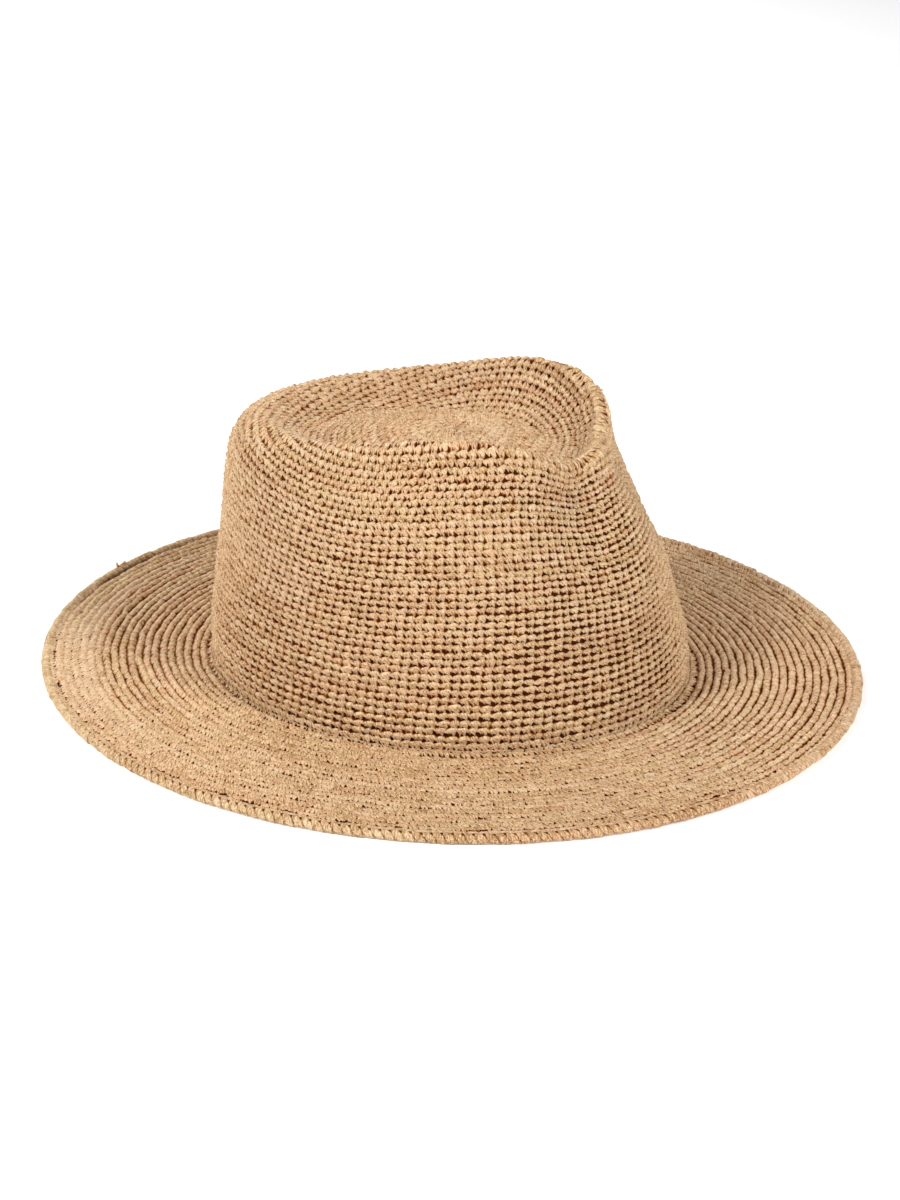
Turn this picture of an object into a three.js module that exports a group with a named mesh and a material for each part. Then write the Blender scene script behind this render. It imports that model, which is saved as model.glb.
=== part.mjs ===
import * as THREE from 'three';

// Straw fedora: a crocheted raffia hat with a teardrop crown and a flat round brim.
// Millimetres, +Z up, on a floor at z = 0. The front is at -Y and the wearer's right side at -X.
// The crown's axis is the Z axis, so the origin is under the middle of the hat.

// Driving dimensions: the head opening is measured inside and the brim over its edge
const HEAD_LENGTH = 197;
const HEAD_WIDTH = 171.5;
const BRIM_LENGTH = 345;
const BRIM_WIDTH = 314;
const WALL = 2.6;

// The edging rounds that finish the brim
const EDGE_WIDTH = 4.4;
const EDGE_THICKNESS = 4.2;
const EDGE_SIDES = 8;
const EDGE_GAP = 0.3;
const EDGE_LIFT_FRONT = 0.6;
const EDGE_LIFT_BACK = 0.2;
const REST_REACH = 0.55;

// Half the width of the two pinches that fingers press beside the nose of the crown, and of the wider
// saddle they leave in its rim
const PINCH_SPREAD = THREE.MathUtils.degToRad(13);
const SADDLE_SPREAD = THREE.MathUtils.degToRad(20);

// The crown is highest here, well forward of the sides' middle
const PEAK_ANGLE = THREE.MathUtils.degToRad(70);
const PEAK_SPREAD = THREE.MathUtils.degToRad(34);

// Facets round the hat, drawn closer together towards the nose by this share
const SECTORS = 72;
const NOSE_CROWDING = 0.3;

const STRAW_COLOUR = 0xcda57b;
const EDGE_COLOUR = 0xc49a6d;

const footFront = HEAD_LENGTH / 2;
const footSide = HEAD_WIDTH / 2;
const brimFront = BRIM_LENGTH / 2 - EDGE_WIDTH - EDGE_GAP;
const brimSide = BRIM_WIDTH / 2 - EDGE_WIDTH - EDGE_GAP;

// Sections of the crown's inner face, from beside the tip down to the foot. reach is the distance from the
// axis and height the height above the floor, each at the front, the side and the back. wedge shapes the
// front in plan (1 is an oval, more is a point). dent gives the two pinches' depth, their angle from the
// nose in degrees and how far they lower the wall. peak is how far the crown rises ahead of its middle,
// and steps the rows of facets that lead to the next section.
const TIP_HEIGHT = 102.4;
const TIP_FORWARD = 3.5;
const tip = new THREE.Vector3(0, -TIP_FORWARD, TIP_HEIGHT);
const crownSections = [
  { reach: [21, 12, 14], height: [102, 102, 102], wedge: 1, dent: [0, 16, 0], peak: 0, steps: 1 },
  { reach: [35, 22, 38], height: [100, 100.5, 98.5], wedge: 1, dent: [0, 16, 0], peak: 0, steps: 1 },
  { reach: [46, 31, 57], height: [95.5, 97.5, 94], wedge: 1, dent: [0, 16, 0], peak: 0, steps: 2 },
  { reach: [55, 40, 67], height: [97.5, 100.5, 95.5], wedge: 0.93, dent: [1, 16, 1.5], peak: 2.5, steps: 2 },
  { reach: [61, 47.5, 73.5], height: [106.5, 106, 99.5], wedge: 0.88, dent: [2.5, 16, 6.5], peak: 6.5, steps: 2 },
  { reach: [65, 52.5, 80], height: [112, 108.5, 101.5], wedge: 0.86, dent: [4, 16, 8.5], peak: 8, steps: 2 },
  { reach: [67, 57, 87], height: [107, 105, 99.5], wedge: 0.93, dent: [5, 18, 7.5], peak: 7.5, steps: 2 },
  { reach: [70, 62, 91.5], height: [94, 96, 92], wedge: 1, dent: [5.5, 22, 4.5], peak: 5.5, steps: 2 },
  { reach: [77.5, 68.5, 93.5], height: [80, 81, 78], wedge: 1.05, dent: [5, 26, 2], peak: 2.5, steps: 3 },
  { reach: [87.5, 76, 94.5], height: [60, 60, 58], wedge: 1.07, dent: [3, 30, 1], peak: 0, steps: 3 },
  { reach: [93.5, 81.5, 97], height: [36, 36, 36], wedge: 1.04, dent: [1, 30, 0], peak: 0, steps: 2 },
  { reach: [97.3, 84.5, 98.3], height: [18, 18, 18], wedge: 1, dent: [0, 30, 0], peak: 0, steps: 2 },
];

// Sections of the turn at the foot and of the brim. grow is the reach past the foot of the crown as a
// share of the brim's width, and lift how far the under face stands above where it meets the edging.
const brimSections = [
  { grow: 0.0, lift: 4.2, steps: 1 },
  { grow: 0.02, lift: 1.5, steps: 1 },
  { grow: 0.06, lift: 0.6, steps: 1 },
  { grow: 0.22, lift: 0.4, steps: 1 },
  { grow: 0.45, lift: 0.4, steps: 1 },
  { grow: 0.72, lift: 0.2, steps: 1 },
  { grow: 1.0, lift: 0.0, steps: 1 },
];

// Turns round the hat, from the nose (0) by way of the wearer's right side
function turnAt(sector) {
  const even = (2 * Math.PI * sector) / SECTORS;
  return even - NOSE_CROWDING * Math.sin(even);
}

function oval([front, side, back], wedge, turn) {
  const c = Math.cos(turn);
  const s = Math.sin(turn);
  const ahead = (c > 0 ? front : back) * c;
  const aside = side * Math.sign(s) * Math.abs(s) ** (c > 0 ? wedge : 1);
  return new THREE.Vector2(ahead, aside);
}

// A height that runs smoothly through its values at the front, the sides and the back
function heightAt([front, side, back], turn) {
  const c = Math.cos(turn);
  return side + ((front - back) / 2) * c + ((front + back) / 2 - side) * c * c;
}

// 1 at a given angle from the nose, on both sides, and 0 well away from it
function bell(turn, angle, spread) {
  const fromNose = Math.atan2(Math.sin(turn), Math.cos(turn));
  const oneSide = Math.exp(-(((fromNose - angle) / spread) ** 2));
  const otherSide = Math.exp(-(((fromNose + angle) / spread) ** 2));
  return oneSide + otherSide;
}

function crownPoint(section, turn) {
  const plan = oval(section.reach, section.wedge, turn);
  const [depth, degrees, drop] = section.dent;
  const angle = THREE.MathUtils.degToRad(degrees);
  plan.setLength(plan.length() - depth * bell(turn, angle, PINCH_SPREAD));
  const saddle = drop * bell(turn, angle, SADDLE_SPREAD);
  const peak = section.peak * bell(turn, PEAK_ANGLE, PEAK_SPREAD);
  const level = heightAt(section.height, turn) - saddle + peak;
  return new THREE.Vector3(-plan.y, -plan.x, level);
}

// How far the brim's edge stands off the floor: it rests on both sides and lifts at the front and back
function edgeLift(turn) {
  const along = Math.cos(turn);
  const rise = THREE.MathUtils.smoothstep(Math.abs(along), REST_REACH, 1);
  return (along > 0 ? EDGE_LIFT_FRONT : EDGE_LIFT_BACK) * rise;
}

function brimPoint(section, turn) {
  const ahead = footFront + (brimFront - footFront) * section.grow;
  const aside = footSide + (brimSide - footSide) * section.grow;
  const plan = oval([ahead, aside, ahead], 1, turn);
  const height = (EDGE_THICKNESS - WALL) / 2 + edgeLift(turn) * section.grow + section.lift;
  return new THREE.Vector3(-plan.y, -plan.x, height);
}

// One line of the inner face from the tip to the brim's edge, with the rows of facets spread along it
function wallLine(turn) {
  const sections = [
    ...crownSections.map((section) => crownPoint(section, turn)),
    ...brimSections.map((section) => brimPoint(section, turn)),
  ];
  const steps = [1, ...crownSections.map((s) => s.steps), ...brimSections.map((s) => s.steps)];
  const curve = new THREE.CatmullRomCurve3([tip, ...sections], false, 'centripetal');
  const line = [];
  steps.forEach((count, index) => {
    for (let step = index === 0 ? 1 : 0; step < count; step += 1) {
      line.push(curve.getPoint((index + step / count) / (steps.length - 1)));
    }
  });
  return line;
}

// Triangles over rows of points that close round the hat, each row further from the tip than the last.
// They face up and out, or the other way for the inner face of the wall. Every quad is cut along its
// shorter diagonal.
function skin(points, rowCount, first, inner) {
  const triangles = [];
  for (let row = 0; row + 1 < rowCount; row += 1) {
    for (let sector = 0; sector < SECTORS; sector += 1) {
      const next = (sector + 1) % SECTORS;
      const a = first + row * SECTORS + sector;
      const b = first + row * SECTORS + next;
      const c = a + SECTORS;
      const d = b + SECTORS;
      if (points[a].distanceTo(points[d]) < points[b].distanceTo(points[c])) {
        triangles.push(...(inner ? [a, d, b, a, c, d] : [a, b, d, a, d, c]));
      } else {
        triangles.push(...(inner ? [a, c, b, b, c, d] : [a, b, c, b, d, c]));
      }
    }
  }
  return triangles;
}

// The triangles between the tip and the first row
function tipFan(centre, first, inner) {
  const triangles = [];
  for (let sector = 0; sector < SECTORS; sector += 1) {
    const next = (sector + 1) % SECTORS;
    triangles.push(centre, first + (inner ? sector : next), first + (inner ? next : sector));
  }
  return triangles;
}

// The triangles that join two rows which both close round the hat
function join(rowA, rowB) {
  const triangles = [];
  for (let sector = 0; sector < SECTORS; sector += 1) {
    const next = (sector + 1) % SECTORS;
    triangles.push(rowA + sector, rowA + next, rowB + next, rowA + sector, rowB + next, rowB + sector);
  }
  return triangles;
}

function geometryOf(points, triangles) {
  const geometry = new THREE.BufferGeometry().setFromPoints(points);
  geometry.setIndex(triangles);
  geometry.computeVertexNormals();
  return geometry;
}

// Crown and brim in one wall: the inner face, and an outer face one wall's thickness in front of it
function hatBodyGeometry() {
  const lines = Array.from({ length: SECTORS }, (_, sector) => wallLine(turnAt(sector)));
  const rowCount = lines[0].length;
  const inner = [];
  for (let row = 0; row < rowCount; row += 1) {
    for (const line of lines) inner.push(line[row]);
  }
  const centre = inner.length;
  inner.push(tip);
  const outerFace = [...skin(inner, rowCount, 0, false), ...tipFan(centre, 0, false)];
  const normals = geometryOf(inner, outerFace).getAttribute('normal');
  const outer = inner.map((point, index) =>
    point.clone().addScaledVector(new THREE.Vector3().fromBufferAttribute(normals, index), WALL));
  const first = outer.length;
  const points = [...outer, ...inner];
  const innerFace = [...skin(points, rowCount, first, true), ...tipFan(first + centre, first, true)];
  const lastRow = (rowCount - 1) * SECTORS;
  return geometryOf(points, [...outerFace, ...innerFace, ...join(lastRow, first + lastRow)]);
}

// The edging round: an eight-sided cord round the brim whose lowest facet lies flat
function brimEdgeGeometry() {
  const corner = 1 / Math.cos(Math.PI / EDGE_SIDES);
  const points = [];
  for (let side = 0; side < EDGE_SIDES; side += 1) {
    const around = (2 * Math.PI * (side + 0.5)) / EDGE_SIDES;
    const across = (Math.cos(around) * EDGE_WIDTH * corner) / 2;
    const up = (Math.sin(around) * EDGE_THICKNESS * corner) / 2;
    for (let sector = 0; sector < SECTORS; sector += 1) {
      const turn = turnAt(sector);
      const ahead = brimFront + EDGE_GAP + EDGE_WIDTH / 2 + across;
      const aside = brimSide + EDGE_GAP + EDGE_WIDTH / 2 + across;
      const plan = oval([ahead, aside, ahead], 1, turn);
      points.push(new THREE.Vector3(-plan.y, -plan.x, EDGE_THICKNESS / 2 + up + edgeLift(turn)));
    }
  }
  const lastRow = (EDGE_SIDES - 1) * SECTORS;
  return geometryOf(points, [...skin(points, EDGE_SIDES, 0, true), ...join(0, lastRow)]);
}

function piece(name, geometry, colour) {
  const material = new THREE.MeshStandardMaterial({ color: colour, roughness: 0.85, metalness: 0 });
  const mesh = new THREE.Mesh(geometry, material);
  mesh.name = name;
  return mesh;
}

const hat = new THREE.Group();
hat.add(piece('hat_body', hatBodyGeometry(), STRAW_COLOUR));
hat.add(piece('brim_edge', brimEdgeGeometry(), EDGE_COLOUR));

export default hat;
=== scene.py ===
"""Straw fedora of crocheted raffia, worked as one spiral from the tip of the crown to the brim's edge.

The tables are in millimetres and the meshes in metres, +Z up, on a floor at z = 0. The front is at -Y
and the wearer's right side at -X. A place on the hat is given by its round, counted from the tip, and
by its share of the way round, from the nose (0) by way of the wearer's right side.
"""

import math
from collections import namedtuple

import bmesh
import bpy
import numpy as np
from bpy.props import FloatProperty, FloatVectorProperty, IntProperty, PointerProperty
from mathutils import Matrix, Vector


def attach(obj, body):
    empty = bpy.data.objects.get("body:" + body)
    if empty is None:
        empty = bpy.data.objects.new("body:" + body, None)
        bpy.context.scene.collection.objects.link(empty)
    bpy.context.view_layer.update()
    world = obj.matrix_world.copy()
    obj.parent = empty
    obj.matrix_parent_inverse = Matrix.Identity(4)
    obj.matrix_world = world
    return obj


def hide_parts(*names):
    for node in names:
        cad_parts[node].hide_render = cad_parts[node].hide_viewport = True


bl_info = {
    "name": "Straw Fedora",
    "version": (1, 0, 0),
    "blender": (4, 5, 0),
    "location": "View3D > Sidebar > Fedora",
    "description": "Crochets a straw fedora stitch by stitch over its solid model",
    "category": "Object",
}

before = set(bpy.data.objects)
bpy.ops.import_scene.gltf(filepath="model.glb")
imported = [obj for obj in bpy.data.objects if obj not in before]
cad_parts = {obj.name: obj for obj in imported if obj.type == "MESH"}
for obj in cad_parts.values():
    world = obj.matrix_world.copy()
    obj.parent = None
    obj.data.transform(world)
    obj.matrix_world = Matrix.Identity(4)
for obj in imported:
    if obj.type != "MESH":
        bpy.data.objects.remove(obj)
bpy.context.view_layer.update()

MM = 0.001
BODY = "root"

# The thickness of the wall, the width and thickness of the edging and its gap to the wall, how far the
# edging lifts off the floor at the front and the back, and up to what share of the way there it rests
WALL = 2.6
EDGE_WIDTH = 4.4
EDGE_THICKNESS = 4.2
EDGE_GAP = 0.3
EDGE_LIFT_FRONT = 0.6
EDGE_LIFT_BACK = 0.2
REST_REACH = 0.55

# Half the widths, in radians, of the two pinches beside the nose, of the saddle they leave in the rim,
# and of the rim's highest part, with the angle that part stands at from the nose
PINCH_SPREAD = math.radians(13)
SADDLE_SPREAD = math.radians(20)
PEAK_ANGLE = math.radians(70)
PEAK_SPREAD = math.radians(34)

# The middle of the dip in the top, on the inner face
TIP = (0.0, -3.5, 102.4)

# Sections of the crown's inner face from beside the tip down to the foot. reach is the distance from the
# axis and height the height above the floor, each at the front, the side and the back. wedge shapes the
# front in plan. dent gives the pinches' depth, their angle from the nose in degrees and how far they
# lower the wall. peak is how far the crown rises ahead of its middle.
Section = namedtuple("Section", "reach height wedge dent peak")
CROWN_SECTIONS = [
    Section((21, 12, 14), (102, 102, 102), 1, (0, 16, 0), 0),
    Section((35, 22, 38), (100, 100.5, 98.5), 1, (0, 16, 0), 0),
    Section((46, 31, 57), (95.5, 97.5, 94), 1, (0, 16, 0), 0),
    Section((55, 40, 67), (97.5, 100.5, 95.5), 0.93, (1, 16, 1.5), 2.5),
    Section((61, 47.5, 73.5), (106.5, 106, 99.5), 0.88, (2.5, 16, 6.5), 6.5),
    Section((65, 52.5, 80), (112, 108.5, 101.5), 0.86, (4, 16, 8.5), 8),
    Section((67, 57, 87), (107, 105, 99.5), 0.93, (5, 18, 7.5), 7.5),
    Section((70, 62, 91.5), (94, 96, 92), 1, (5.5, 22, 4.5), 5.5),
    Section((77.5, 68.5, 93.5), (80, 81, 78), 1.05, (5, 26, 2), 2.5),
    Section((87.5, 76, 94.5), (60, 60, 58), 1.07, (3, 30, 1), 0),
    Section((93.5, 81.5, 97), (36, 36, 36), 1.04, (1, 30, 0), 0),
    Section((97.3, 84.5, 98.3), (18, 18, 18), 1, (0, 30, 0), 0),
]

# Sections of the turn at the foot and of the brim: grow is the share of the brim's width, and lift how
# far the under face stands above where it meets the edging
BrimSection = namedtuple("BrimSection", "grow lift")
BRIM_SECTIONS = [
    BrimSection(0.0, 4.2),
    BrimSection(0.02, 1.5),
    BrimSection(0.06, 0.6),
    BrimSection(0.22, 0.4),
    BrimSection(0.45, 0.4),
    BrimSection(0.72, 0.2),
    BrimSection(1.0, 0.0),
]

# The number of the first brim section, counted from the tip
FOOT_KNOT = len(CROWN_SECTIONS) + 1

# How closely the rounds lie, at shares of the way from the tip to the foot of the crown
DENSITY = ((0, 0.9), (0.2, 0.92), (0.45, 1.03), (0.68, 1.08), (0.9, 0.98), (1, 0.92))

# How far the rounds are drawn up just past the nose, in rounds, at shares of the way down the crown, with
# the angle from the nose where that is most, and half its width
CLIMB = ((0, 0), (0.42, 0), (0.6, 2.5), (0.8, 2.5), (1, 0))
CLIMB_ANGLE = math.radians(-28)
CLIMB_SPREAD = math.radians(28)

# How finely the wall is sampled: columns round the hat, rows for each round of stitches, steps between
# two sections, and shares of the crown at which its rounds are counted
COLUMNS = 720
ROWS_PER_ROUND = 6
SPAN_STEPS = 14
COUNTED_SHARES = 401

# The web between the outer and inner stitches, which closes the wall and is coloured as painted shade for
# the holes: how far above the inner face it lies, its thickness, its faces round and down the hat, how many
# rounds of the wall it leaves free at the edging, and how many specks it has over a metre
WEB_LEVEL = 1.2
WEB_THICKNESS = 0.25
WEB_COLUMNS = 144
WEB_ROWS = 64
WEB_FREE = 0.7
WEB_SPECKS = 900.0

# How far the outer stitches rise above the web, and the inner ones sink below it
OUTER_RISE = 1.6
INNER_RISE = -1.2

# The spiral starts a little way from the tip and grows by a whole number of stitches at a time. The
# crown's open stitches go on for a few rounds past the foot, and the brim's run a little way under the
# edging. Widths are shares of the usual one, at rounds from the tip on.
FIRST_ROUND = 0.2
INCREASE = 6
FOOT_ROUNDS = 2.2
HEM_ROUNDS = 0.5
WIDTHS = ((0, 0.95), (18, 0.93), (30, 0.93), (60, 1.07), (67, 1.02), (82, 1.0))

# Where one piece of the crown ends and the next begins, as shares of its rounds, and the same on the brim
DOME_END = 0.46
UPPER_END = 0.73
BRIM_MIDDLE = 0.52

# How one stitch is drawn: the lines along it and across it that its faces lie between, with the height
# on each line across it. Across, 0 is the tip's side: a loop lies there over the feet of the round
# before and stands up by scallop, and two legs run down from it to 1. crease is how far the loop dips
# between two stitches, open_side how deep the hole between their legs is, and open_middle the one
# between its own.
Pattern = namedtuple("Pattern", "along across heights crease open_side open_middle scallop")
CROWN_PATTERN = Pattern(
    (0, 0.12, 0.3, 0.5, 0.7, 0.88, 1),
    (-0.12, 0.0, 0.14, 0.34, 0.58, 0.84, 1.08),
    (-0.1, 0.66, 1.0, 0.98, 0.76, 0.52, 0.25),
    0.5, 0.7, 0.4, 0.24,
)
BRIM_PATTERN = Pattern(
    (0, 0.12, 0.3, 0.5, 0.7, 0.88, 1),
    (-0.06, 0.1, 0.26, 0.5, 0.74, 0.88, 1.06),
    (-0.15, 0.15, 0.8, 1.0, 0.7, 0.15, -0.15),
    0.2, 0.12, 0.1, 0.16,
)
INSIDE_PATTERN = Pattern((0, 0.3, 0.7, 1), (-0.05, 0.5, 1.05), (0.1, 1.0, 0.1), 0.4, 0.0, 0.0, 0.0)

# Across a stitch, where its legs begin and where they are full, and from where its foot is drawn in.
# Along it, the half widths of its crease and holes. The loop is highest a little off its middle.
LEGS_BEGIN = 0.45
LEGS_FULL = 0.75
FOOT_BEGINS = 0.7
CREASE_WIDTH = 0.2
SIDE_HOLE_WIDTH = 0.16
MIDDLE_HOLE_WIDTH = 0.1
LOOP_LEAN = 0.7

# The holes of one stitch, where dark shade is painted: place is counted in stitches from the joint before
# it, top and bottom across the stitch, and width is how wide the hole is at its bottom. skew sets its top
# back, narrow is how much less it reaches to one side than to the other, and line is how dark the painted
# shade in the crease above it is.
Hole = namedtuple("Hole", "place top bottom width skew narrow line")
CROWN_HOLES = (Hole(0.0, 0.2, 0.78, 0.26, 0.3, 2.2, 0.5), Hole(0.42, 0.35, 0.75, 0.15, 0.3, 1.5, 0.3))
BRIM_HOLES = (Hole(0.0, 0.58, 0.95, 0.2, 0.3, 1.5, 0.15), Hole(0.5, 0.72, 0.98, 0.14, 0.3, 1.5, 0.05))

# How open the holes are, at shares of the way down the crown, and past 1 on the brim: the dome and the
# brim are close, and the round beside the edging is open
USUAL_OPENNESS = (
    (0, 0.2), (0.12, 0.3), (0.17, 0.5), (0.2, 0.95), (0.3, 1.15), (0.36, 0.8), (0.6, 0.85), (0.8, 1.05),
    (0.95, 1.35), (1, 1.0), (1.035, 0.8), (1.04, 0.85), (1.325, 0.85), (1.333, 1.6), (1.4, 1.6),
)

# How much of that the crown has, at degrees from the nose, up to 180 over the wearer's right side and down
# to -180 over the left: first on its outside, then on the walls inside its rim
OPENNESS_ROUND = (
    (-180, 0.6, 0.6), (-57, 0.9, 0.9), (-40, 0.8, 0.5), (-12, 0.4, 0.5), (-2, 0.6, 0.5), (6, 1.6, 0.5),
    (28, 1.65, 0.4), (45, 1.4, 0.6), (60, 1.1, 0.9), (120, 0.95, 1.0), (149, 0.7, 0.7), (180, 0.6, 0.6),
)

# Up to what share of the crown's rounds its walls lie inside the rim
INSIDE_RIM = 0.38

# Waves that make some stretches of the crown more worn and open than others: how much, how many times
# round the hat, how far each round shifts them, and where they start
Wave = namedtuple("Wave", "size times shift start")
WORN_WAVES = (Wave(0.18, 3, 0.25, 0), Wave(0.15, 5, -0.2, 1))

# By what share the brim's grooves are pressed flat, at degrees from the nose: on all its rounds beside
# the wearer's right temple, and on its outer rounds behind that. Outer rounds begin at a share of the
# brim's width. The last two values change the tone there as painted shade beside the temple and
# painted light behind it.
PRESSED_TEMPLE = ((-180, 0), (15, 0), (40, 0.7), (105, 0.7), (135, 0.2), (180, 0))
PRESSED_BEHIND = ((-180, 0.5), (-150, 0), (100, 0), (130, 1), (165, 1), (180, 0.5))
OUTER_ROUNDS = ((0.68, 0), (0.82, 0.55))
TEMPLE_PAINTED_SHADE = -0.18
BEHIND_PAINTED_LIGHT = 0.12

# How uneven the stitches are: the spread of their plumpness and of their place along and across the
# round, as shares of a stitch, and the least and most that they may stand up, as a share of their rise
PLUMP_SPREAD = 0.13
ALONG_SPREAD = 0.1
ACROSS_SPREAD = 0.07
LOWEST = -0.1
HIGHEST = 1.4

# What wanders along the yarn: over how many stitches, and by how much
Drift = namedtuple("Drift", "step size")
PLUMP_DRIFT = Drift(9, 0.05)
TONE_DRIFT = Drift(25, 0.05)

# How tone and warmth vary: their middle, how much they differ from one length of yarn to the next, how
# many stitches a length makes, and how much they differ from stitch to stitch
Shades = namedtuple("Shades", "middle by_length shortest longest by_stitch")
TONE = Shades(0.55, 0.03, 3, 30, 0.06)
WARMTH = Shades(0.5, 0.12, 4, 40, 0.08)
EDGE_TONE = Shades(0.4, 0.06, 6, 40, 0.08)
EDGE_WARMTH = Shades(0.5, 0.16, 8, 60, 0.0)


def from_table(value, table):
    """The values that a table of places and values gives between its rows."""
    places, values = zip(*table)
    return np.interp(value, places, values)


def smooth_step(low, high, value):
    """0 up to low and 1 from high on, with a smooth rise between them."""
    part = min(1.0, max(0.0, (value - low) / (high - low)))
    return part * part * (3 - 2 * part)


def oval(reach, wedge, turns):
    """Distances ahead of and beside the axis of an oval that has its own front, side and back reach."""
    front, side, back = reach
    along = np.cos(turns)
    across = np.sin(turns)
    ahead = np.where(along > 0, front, back) * along
    aside = side * np.sign(across) * np.abs(across) ** np.where(along > 0, wedge, 1.0)
    return ahead, aside


def height_at(height, turns):
    """A height that runs smoothly through its values at the front, the sides and the back."""
    front, side, back = height
    along = np.cos(turns)
    return side + (front - back) / 2 * along + ((front + back) / 2 - side) * along**2


def bell(turns, angle, spread):
    """1 at an angle from the nose, on both sides, and 0 well away from it."""
    from_nose = np.arctan2(np.sin(turns), np.cos(turns))
    one_side = np.exp(-(((from_nose - angle) / spread) ** 2))
    other_side = np.exp(-(((from_nose + angle) / spread) ** 2))
    return one_side + other_side


def crown_points(section, turns):
    """The points of one crown section, at every turn."""
    ahead, aside = oval(section.reach, section.wedge, turns)
    depth, degrees, drop = section.dent
    angle = math.radians(degrees)
    length = np.hypot(ahead, aside)
    shrink = (length - depth * bell(turns, angle, PINCH_SPREAD)) / length
    level = height_at(section.height, turns)
    level = level - drop * bell(turns, angle, SADDLE_SPREAD)
    level = level + section.peak * bell(turns, PEAK_ANGLE, PEAK_SPREAD)
    return np.stack([-aside * shrink, -ahead * shrink, level], axis=-1)


def edge_lift(turns):
    """How far the brim's edge stands off the floor: it rests on both sides, and lifts at front and back."""
    along = np.cos(turns)
    rise = np.clip((np.abs(along) - REST_REACH) / (1 - REST_REACH), 0, 1)
    rise = rise * rise * (3 - 2 * rise)
    return np.where(along > 0, EDGE_LIFT_FRONT, EDGE_LIFT_BACK) * rise


def brim_points(section, turns, sizes):
    """The points of one brim section, at every turn."""
    foot_front = sizes.head_length / MM / 2
    foot_side = sizes.head_width / MM / 2
    hem = EDGE_WIDTH + EDGE_GAP
    front = foot_front + (sizes.brim_length / MM / 2 - hem - foot_front) * section.grow
    side = foot_side + (sizes.brim_width / MM / 2 - hem - foot_side) * section.grow
    ahead, aside = oval((front, side, front), 1, turns)
    level = (EDGE_THICKNESS - WALL) / 2 + edge_lift(turns) * section.grow + section.lift
    return np.stack([-aside, -ahead, level], axis=-1)


def smooth_lines(knots, steps):
    """Smooth lines through rows of knots, with equal steps between each two rows."""
    path = np.concatenate([[2 * knots[0] - knots[1]], knots, [2 * knots[-1] - knots[-2]]])
    gaps = np.sqrt(np.linalg.norm(np.diff(path, axis=0), axis=2, keepdims=True))
    before, here, after = gaps[:-2], gaps[1:-1], gaps[2:]
    last, start, end, following = path[:-3], path[1:-2], path[2:-1], path[3:]
    leave = (start - last) / before - (end - last) / (before + here) + (end - start) / here
    arrive = (end - start) / here - (following - start) / (here + after) + (following - end) / after
    leave = leave * here
    arrive = arrive * here
    part = (np.arange(steps) / steps)[None, :, None, None]
    start, end, leave, arrive = (a[:, None] for a in (start, end, leave, arrive))
    square = -3 * start + 3 * end - 2 * leave - arrive
    cube = 2 * start - 2 * end + leave + arrive
    spans = start + part * (leave + part * (square + part * cube))
    return np.concatenate([spans.reshape(-1, *knots.shape[1:]), knots[-1:]])


def even_round(row):
    """One closed row of points, set at equal distances round the hat from the nose on."""
    closed = np.concatenate([row, row[:1]])
    walked = np.concatenate([[0], np.cumsum(np.linalg.norm(np.diff(closed, axis=0), axis=1))])
    places = np.arange(len(row)) / len(row) * walked[-1]
    even = np.stack([np.interp(places, walked, closed[:, axis]) for axis in range(3)], axis=-1)
    return even, walked[-1]


Lattice = namedtuple("Lattice", "rounds points normals girth")


def hat_lattice(sizes):
    """The hat's inner face as rows of points, with their normals and the girth of each row."""
    turns = np.arange(COLUMNS) / COLUMNS * 2 * math.pi
    knots = [np.broadcast_to(np.array(TIP), (COLUMNS, 3))]
    knots += [crown_points(section, turns) for section in CROWN_SECTIONS]
    knots += [brim_points(section, turns, sizes) for section in BRIM_SECTIONS]
    past_hem = BrimSection(1 + 1 / sizes.brim_rounds, 0.0)
    knots.append(brim_points(past_hem, turns, sizes))
    lines = smooth_lines(np.array(knots), SPAN_STEPS)
    steps = np.linalg.norm(np.diff(lines, axis=0), axis=2)
    walked = np.concatenate([np.zeros((1, COLUMNS)), np.cumsum(steps, axis=0)])
    foot = walked[FOOT_KNOT * SPAN_STEPS]
    fine = np.linspace(0, 1, COUNTED_SHARES)
    closeness = from_table(fine, DENSITY)
    counted = np.concatenate([[0], np.cumsum((closeness[1:] + closeness[:-1]) / 2)])
    crown_share = np.interp(np.minimum(walked / foot, 1), fine, counted / counted[-1])
    past_nose = np.arctan2(np.sin(turns - CLIMB_ANGLE), np.cos(turns - CLIMB_ANGLE))
    climb = from_table(crown_share, CLIMB) * np.exp(-((past_nose / CLIMB_SPREAD) ** 2))
    crown_part = crown_share * sizes.crown_rounds + climb
    brim_part = np.maximum((walked - foot) / (walked[-1] - foot), 0) * (sizes.brim_rounds + 1)
    worked = crown_part + brim_part
    total = sizes.crown_rounds + sizes.brim_rounds + 1
    rounds = np.arange(total * ROWS_PER_ROUND + 1) / ROWS_PER_ROUND
    grid = np.empty((len(rounds), COLUMNS, 3))
    for column in range(COLUMNS):
        for axis in range(3):
            grid[:, column, axis] = np.interp(rounds, worked[:, column], lines[:, column, axis])
    girth = np.zeros(len(rounds))
    for row in range(1, len(rounds)):
        grid[row], girth[row] = even_round(grid[row])
    around = np.roll(grid, -1, axis=1) - np.roll(grid, 1, axis=1)
    down = np.gradient(grid, axis=0)
    normals = np.cross(around, down)
    normals[0] = normals[1].mean(axis=0)
    normals /= np.linalg.norm(normals, axis=2, keepdims=True)
    return Lattice(rounds, grid, normals, girth)


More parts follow.
